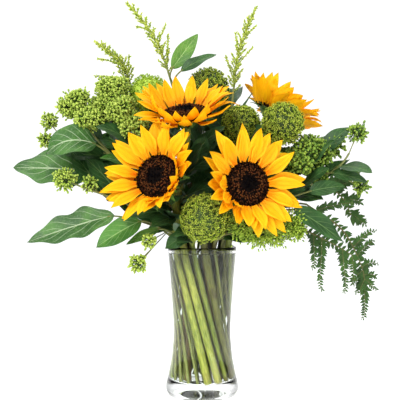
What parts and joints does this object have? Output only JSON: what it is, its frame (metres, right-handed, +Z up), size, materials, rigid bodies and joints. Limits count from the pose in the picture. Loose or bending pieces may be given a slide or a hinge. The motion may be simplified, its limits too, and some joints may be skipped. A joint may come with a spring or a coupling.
{
  "type": "sunflowers in a vase",
  "caption": "Bouquet of sunflowers, green ball dianthus, goldenrod, bud sprays, fern and leaves in a waisted clear glass vase of water.",
  "frame": {"origin": "centre of the vase's foot, on the surface that it stands on", "axes": "+Z up the vase's axis, -Y towards the front of the bouquet, +X to the right as seen from the front"},
  "size_m": [0.495, 0.262, 0.5461],
  "materials": {
    "clear_glass": "gloss",
    "clear_water": "gloss",
    "sunflower_stem": "satin",
    "calyx": "matte",
    "disc_florets": "matte",
    "ray_florets": "satin",
    "dianthus_stem": "satin",
    "dianthus_bloom": "matte",
    "goldenrod": "matte",
    "bud_spray": "matte",
    "leafy_spray": "matte",
    "trailing_spray": "matte",
    "fern": "matte",
    "broad_leaf": "satin",
    "dark_leaf": "satin",
    "pale_leaf": "satin"
  },
  "bodies": {
    "root": {"bud_spray_back_left": "bud_spray", "bud_spray_centre_left": "bud_spray", "bud_spray_far_left": "bud_spray", "bud_spray_low_left": "bud_spray", "bud_spray_upper_left": "bud_spray", "dianthus_back_bloom": "dianthus_bloom", "dianthus_back_stem": "dianthus_stem", "dianthus_front_bloom": "dianthus_bloom", "dianthus_front_stem": "dianthus_stem", "dianthus_left_bloom": "dianthus_bloom", "dianthus_left_stem": "dianthus_stem", "dianthus_middle_bloom": "dianthus_bloom", "dianthus_middle_stem": "dianthus_stem", "dianthus_right_bloom": "dianthus_bloom", "dianthus_right_stem": "dianthus_stem", "fern_back": "fern", "fern_front": "fern", "fern_low": "fern", "goldenrod_centre": "goldenrod", "goldenrod_left": "goldenrod", "goldenrod_right": "goldenrod", "leaf_arched_left": "broad_leaf", "leaf_back": "broad_leaf", "leaf_front_left": "broad_leaf", "leaf_inner": "dark_leaf", "leaf_lower_left": "broad_leaf", "leaf_lower_right": "broad_leaf", "leaf_small_front_left": "pale_leaf", "leaf_top_dark": "dark_leaf", "leaf_top_pale": "pale_leaf", "leaf_under_front_bloom": "dark_leaf", "leaf_upper_left": "broad_leaf", "leaf_upper_right": "dark_leaf", "leafy_spray_far_right": "leafy_spray", "leafy_spray_right": "leafy_spray", "sunflower_left_calyx": "calyx", "sunflower_left_disc": "disc_florets", "sunflower_left_inner_rays": "ray_florets", "sunflower_left_outer_rays": "ray_florets", "sunflower_left_stem": "sunflower_stem", "sunflower_rear_calyx": "calyx", "sunflower_rear_disc": "disc_florets", "sunflower_rear_inner_rays": "ray_florets", "sunflower_rear_outer_rays": "ray_florets", "sunflower_rear_stem": "sunflower_stem", "sunflower_right_calyx": "calyx", "sunflower_right_disc": "disc_florets", "sunflower_right_inner_rays": "ray_florets", "sunflower_right_outer_rays": "ray_florets", "sunflower_right_stem": "sunflower_stem", "sunflower_top_calyx": "calyx", "sunflower_top_disc": "disc_florets", "sunflower_top_inner_rays": "ray_florets", "sunflower_top_outer_rays": "ray_florets", "sunflower_top_stem": "sunflower_stem", "trailing_spray_right": "trailing_spray", "vase": "clear_glass", "water": "clear_water"}
  },
  "joints": []
}
